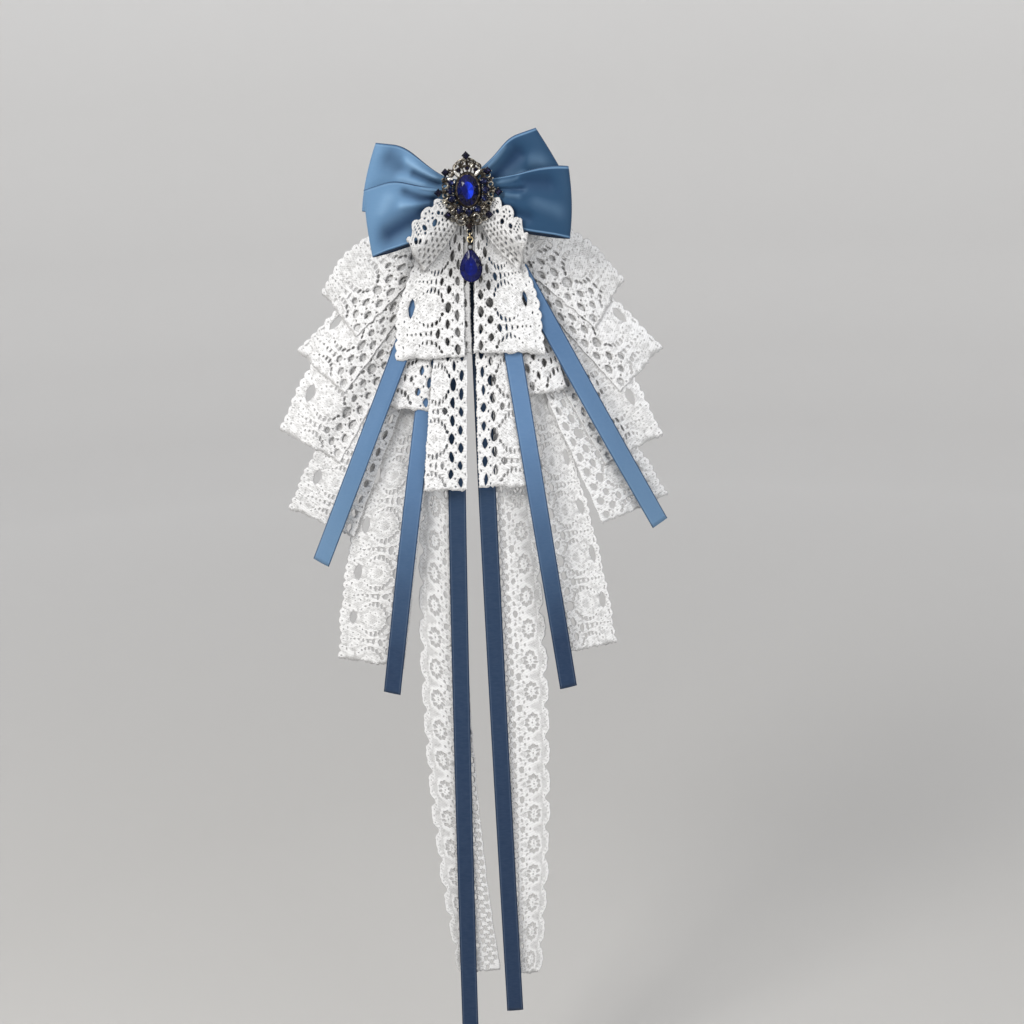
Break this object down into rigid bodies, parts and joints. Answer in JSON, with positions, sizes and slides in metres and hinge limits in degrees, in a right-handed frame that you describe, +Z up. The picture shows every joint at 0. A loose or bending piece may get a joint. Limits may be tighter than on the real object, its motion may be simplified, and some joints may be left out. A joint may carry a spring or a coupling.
{
  "type": "detachable collar",
  "caption": "Pin-on jabot collar of layered cotton lace tiers, panels and tails with satin ribbons, a double satin bow and a pierced brooch with a pear drop.",
  "frame": {"origin": "middle of the rear face of the bar pin behind the bow's knot, where the jabot is pinned to a garment", "axes": "+Z up along the hanging tails, +X to the right as seen from the front, and the front with the brooch faces -Y"},
  "size_m": [0.2689, 0.0567, 0.6529],
  "materials": {
    "lace": "cotton lace, matt cream white",
    "frill_lace": "guipure lace, matt",
    "ribbon_navy": "satin ribbon, navy",
    "ribbon_blue": "satin ribbon, mid blue",
    "bow_satin": "satin ribbon, steel blue",
    "antique_bronze": "antique bronze, worn",
    "pale_gold": "pale gold, polished",
    "pin_steel": "plain steel",
    "blue_stone": "faceted blue glass",
    "dark_stone": "faceted dark navy glass",
    "garnet_stone": "faceted dark red glass",
    "clear_stone": "faceted clear glass"
  },
  "bodies": {
    "jabot": {"back_pin": "pin_steel", "bottom_stone": "garnet_stone", "bow_back": "bow_satin", "bow_front": "bow_satin", "brooch_frame": "antique_bronze", "centre_stone": "blue_stone", "crown_stone_1": "dark_stone", "crown_stone_2": "dark_stone", "crown_stone_3": "dark_stone", "frill_back_right": "frill_lace", "frill_left": "frill_lace", "frill_right": "frill_lace", "lower_lace_left": "lace", "lower_lace_right": "lace", "middle_panel_left": "lace", "middle_panel_right": "lace", "point_stone_1": "dark_stone", "point_stone_2": "dark_stone", "point_stone_3": "dark_stone", "point_stone_4": "dark_stone", "point_stone_5": "dark_stone", "point_stone_6": "dark_stone", "point_stone_7": "dark_stone", "ribbon_inner_left": "ribbon_navy", "ribbon_inner_right": "ribbon_navy", "ribbon_middle_left": "ribbon_blue", "ribbon_middle_right": "ribbon_blue", "ribbon_outer_left": "ribbon_blue", "ribbon_outer_right": "ribbon_blue", "ring_stone_1": "blue_stone", "ring_stone_2": "blue_stone", "ring_stone_3": "blue_stone", "ring_stone_4": "blue_stone", "ring_stone_5": "blue_stone", "ring_stone_6": "blue_stone", "ring_stone_7": "blue_stone", "ring_stone_8": "blue_stone", "ring_stone_9": "blue_stone", "short_lace_left": "lace", "short_lace_right": "lace", "tail_left": "lace", "tail_right": "lace", "tier_1_left": "lace", "tier_1_right": "lace", "tier_2_left": "lace", "tier_2_right": "lace", "tier_3_left": "lace", "tier_3_right": "lace", "tier_4_left": "lace", "tier_4_right": "lace", "top_panel_left": "lace", "top_panel_right": "lace"},
    "drop": {"drop_link_upper": "pale_gold", "drop_link_lower": "pale_gold", "drop_setting": "antique_bronze", "drop_crystal": "clear_stone", "drop_stone": "blue_stone"}
  },
  "joints": [
    {"name": "drop_swing", "type": "hinge", "parent": "jabot", "child": "drop", "pos_m": [0, -0.03765, -0.0263], "axis": [0, 1, 0], "range_deg": [-35, 35]}
  ]
}
